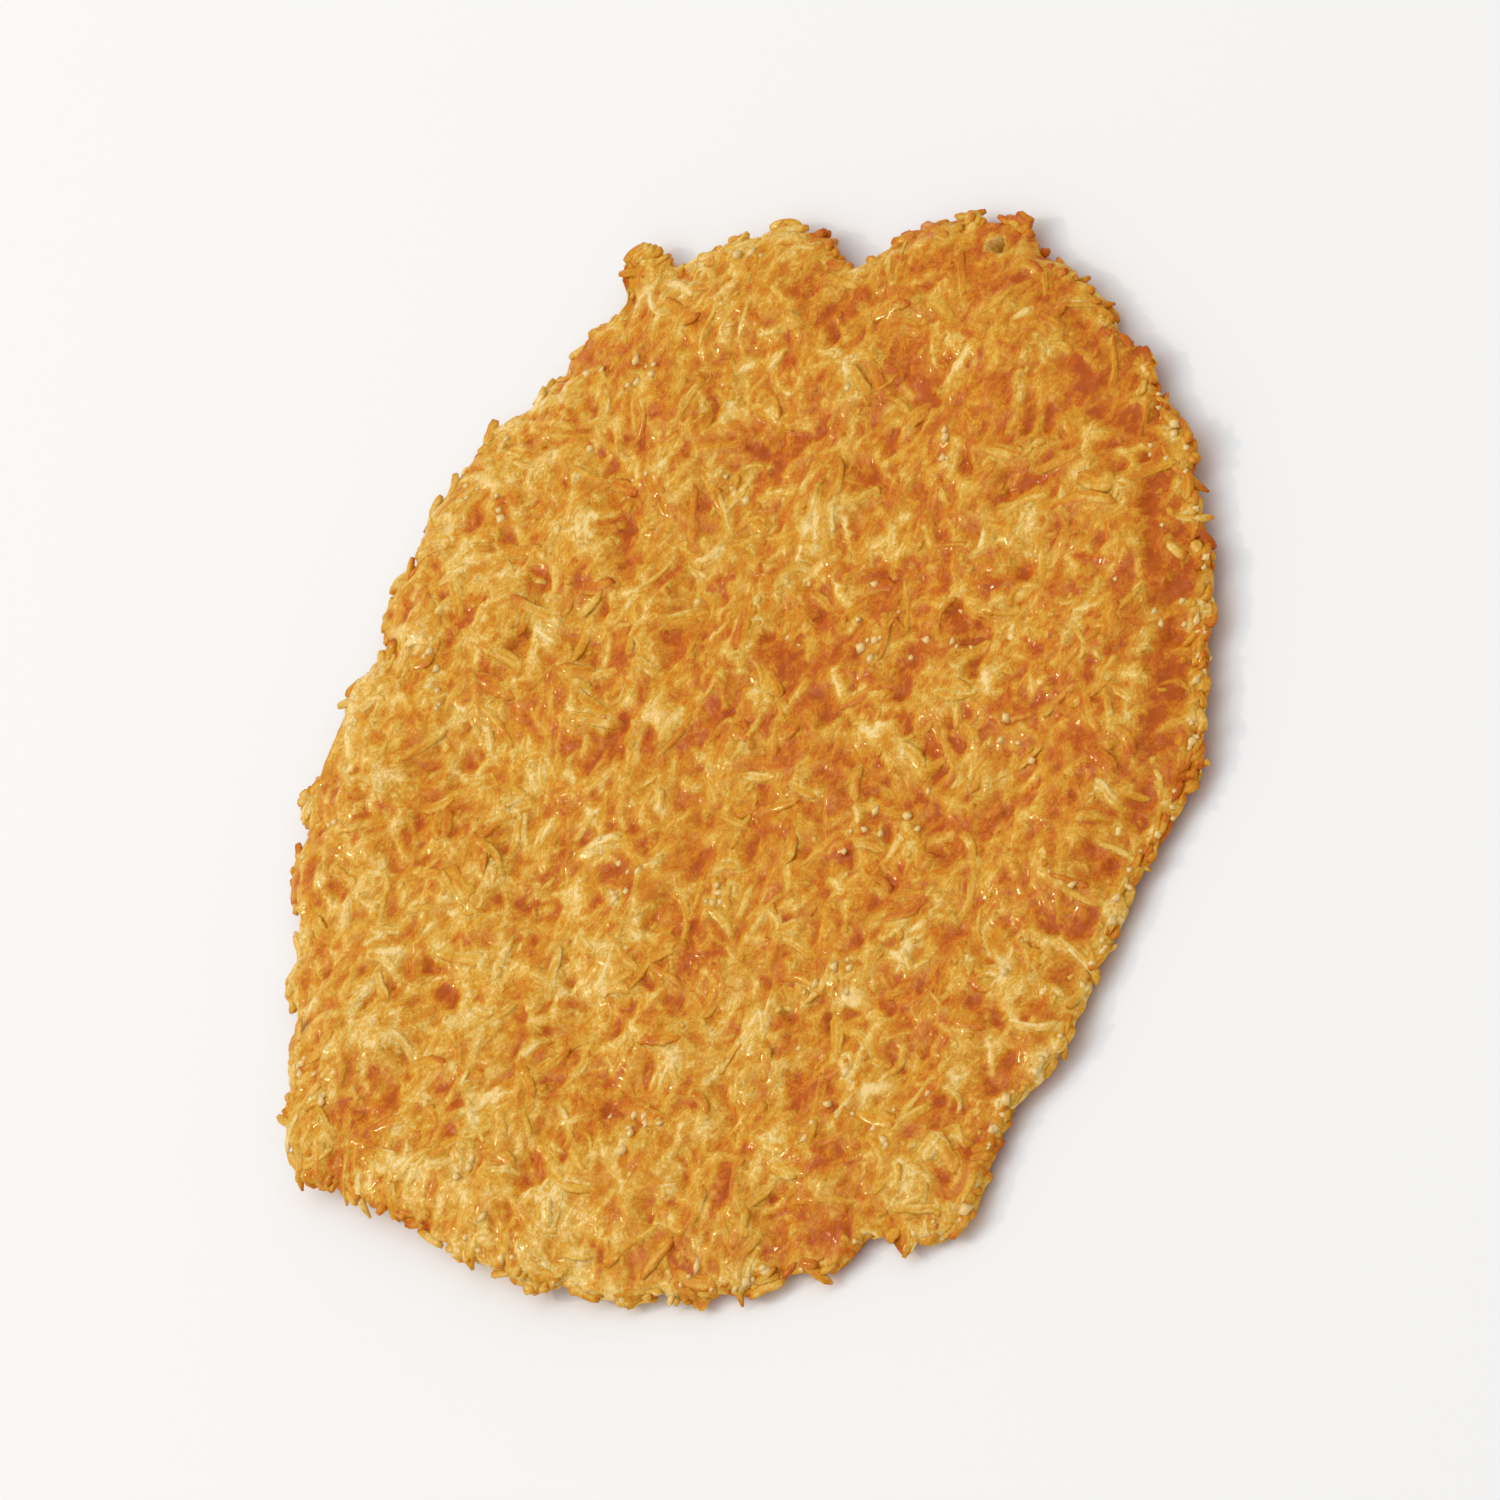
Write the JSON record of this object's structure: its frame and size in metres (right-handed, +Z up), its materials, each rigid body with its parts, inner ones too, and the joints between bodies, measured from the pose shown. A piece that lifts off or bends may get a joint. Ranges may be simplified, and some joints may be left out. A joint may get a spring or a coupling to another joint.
{
  "type": "coconut tuile",
  "caption": "Thin, crisp round biscuit of matted coconut shreds, golden brown, with a craggy top, a flat underside and a ragged, gently wavy rim.",
  "frame": {"origin": "on the surface the biscuit lies on, under the middle of its box", "axes": "+Z up, out of the craggy top; +X and +Y in the plane of the biscuit, with the rim's nearest side in the picture towards -Y"},
  "size_m": [0.0692, 0.0674, 0.0035],
  "materials": {
    "baked_coconut": "satin, caramelised sugar over golden-brown toasted coconut"
  },
  "bodies": {
    "root": {"tuile": "baked_coconut"}
  },
  "joints": []
}
